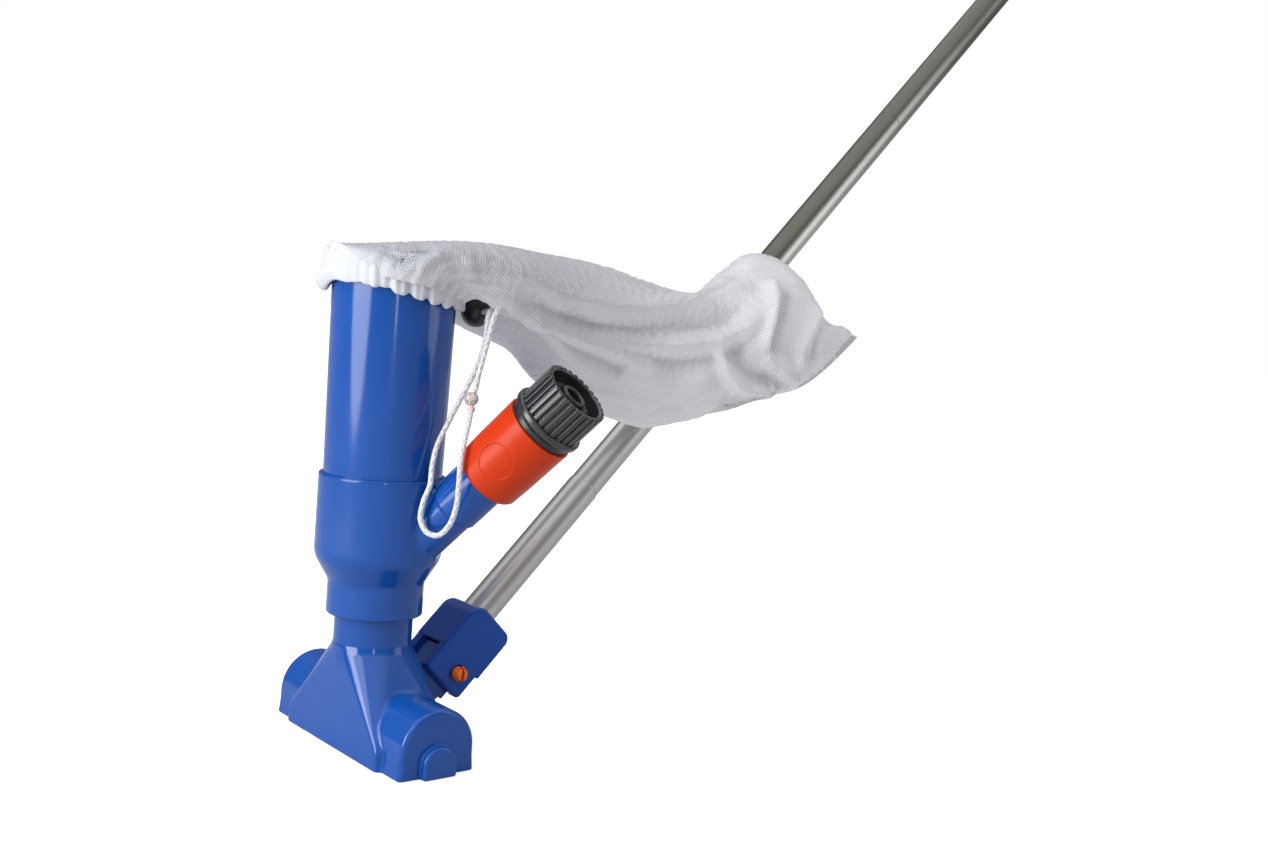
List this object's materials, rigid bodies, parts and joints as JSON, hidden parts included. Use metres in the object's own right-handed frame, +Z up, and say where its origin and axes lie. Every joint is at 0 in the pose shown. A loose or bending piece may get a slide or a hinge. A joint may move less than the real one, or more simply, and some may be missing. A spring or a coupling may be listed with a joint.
{
  "type": "hose-powered pool vacuum head with bag and pole",
  "caption": "Hose-powered pool and spa vacuum head: suction nozzle, venturi body with angled quick-connect inlet, discharge tube with a drawstring mesh bag, and a hinged sectional pole.",
  "frame": {"origin": "on the floor, under the middle of the nozzle's front lip", "axes": "+X along the nozzle bar, towards the water inlet's side; +Y from the front lip towards the pole; +Z up"},
  "size_m": [0.1716, 0.8651, 0.8366],
  "materials": {
    "blue_plastic": "moulded, glossy",
    "orange_plastic": "moulded, satin",
    "pole_tube": "drawn tube, satin",
    "black_plastic": "moulded, satin",
    "seal_rubber": "matt",
    "grey_plastic": "moulded",
    "bag_mesh": "fine woven mesh, half see-through",
    "hem_fabric": "folded band",
    "white_plastic": "moulded",
    "cord_fabric": "braided",
    "bead_plastic": "clear, slightly pink",
    "spring_steel": "drawn wire"
  },
  "bodies": {
    "pole": {"pole_block": "blue_plastic", "hinge_pin": "orange_plastic", "pole_section_1": "pole_tube", "pole_section_2": "pole_tube", "pole_section_3": "pole_tube", "pole_section_4": "pole_tube", "pole_cap": "black_plastic"},
    "nozzle": {"suction_nozzle": "blue_plastic", "neck_seal": "seal_rubber", "venturi_body": "blue_plastic", "jet_ring": "grey_plastic", "discharge_tube": "blue_plastic", "collection_bag": "bag_mesh", "bag_hem": "hem_fabric", "inlet_nipple": "black_plastic", "nipple_seal": "seal_rubber", "drawstring": "cord_fabric", "drawstring_return": "cord_fabric", "cord_bead": "bead_plastic", "cord_lock_body": "black_plastic", "cord_lock_spring": "spring_steel"},
    "connector": {"connector_core": "black_plastic", "claw_ring": "white_plastic", "hose_collet": "black_plastic"},
    "sleeve": {"release_sleeve": "orange_plastic"},
    "nut": {"hose_nut": "black_plastic"},
    "plunger": {"cord_lock_plunger": "black_plastic"}
  },
  "joints": [
    {"name": "pole_hinge", "type": "hinge", "parent": "pole", "child": "nozzle", "pos_m": [0, 0.0629, 0.03268], "axis": [1, 0, 0], "range_deg": [0, 35]},
    {"name": "connector_swivel", "type": "hinge", "parent": "nozzle", "child": "connector", "pos_m": [0, 0.0196, 0.0809], "axis": [0.6273, 0.3155, 0.712], "continuous": true},
    {"name": "nut_spin", "type": "hinge", "parent": "connector", "child": "nut", "pos_m": [0, 0.0196, 0.0809], "axis": [0.6273, 0.3155, 0.712], "continuous": true},
    {"name": "sleeve_slide", "type": "slide", "parent": "connector", "child": "sleeve", "axis": [0.6273, 0.3155, 0.712], "range_m": [0, 0.003], "stiffness_N_per_m": 1500, "springref_m": -0.001},
    {"name": "plunger_press", "type": "slide", "parent": "nozzle", "child": "plunger", "axis": [0, 0, -1], "range_m": [0, 0.0015], "stiffness_N_per_m": 400, "springref_m": -0.001, "deforming": ["cord_lock_spring"]}
  ]
}
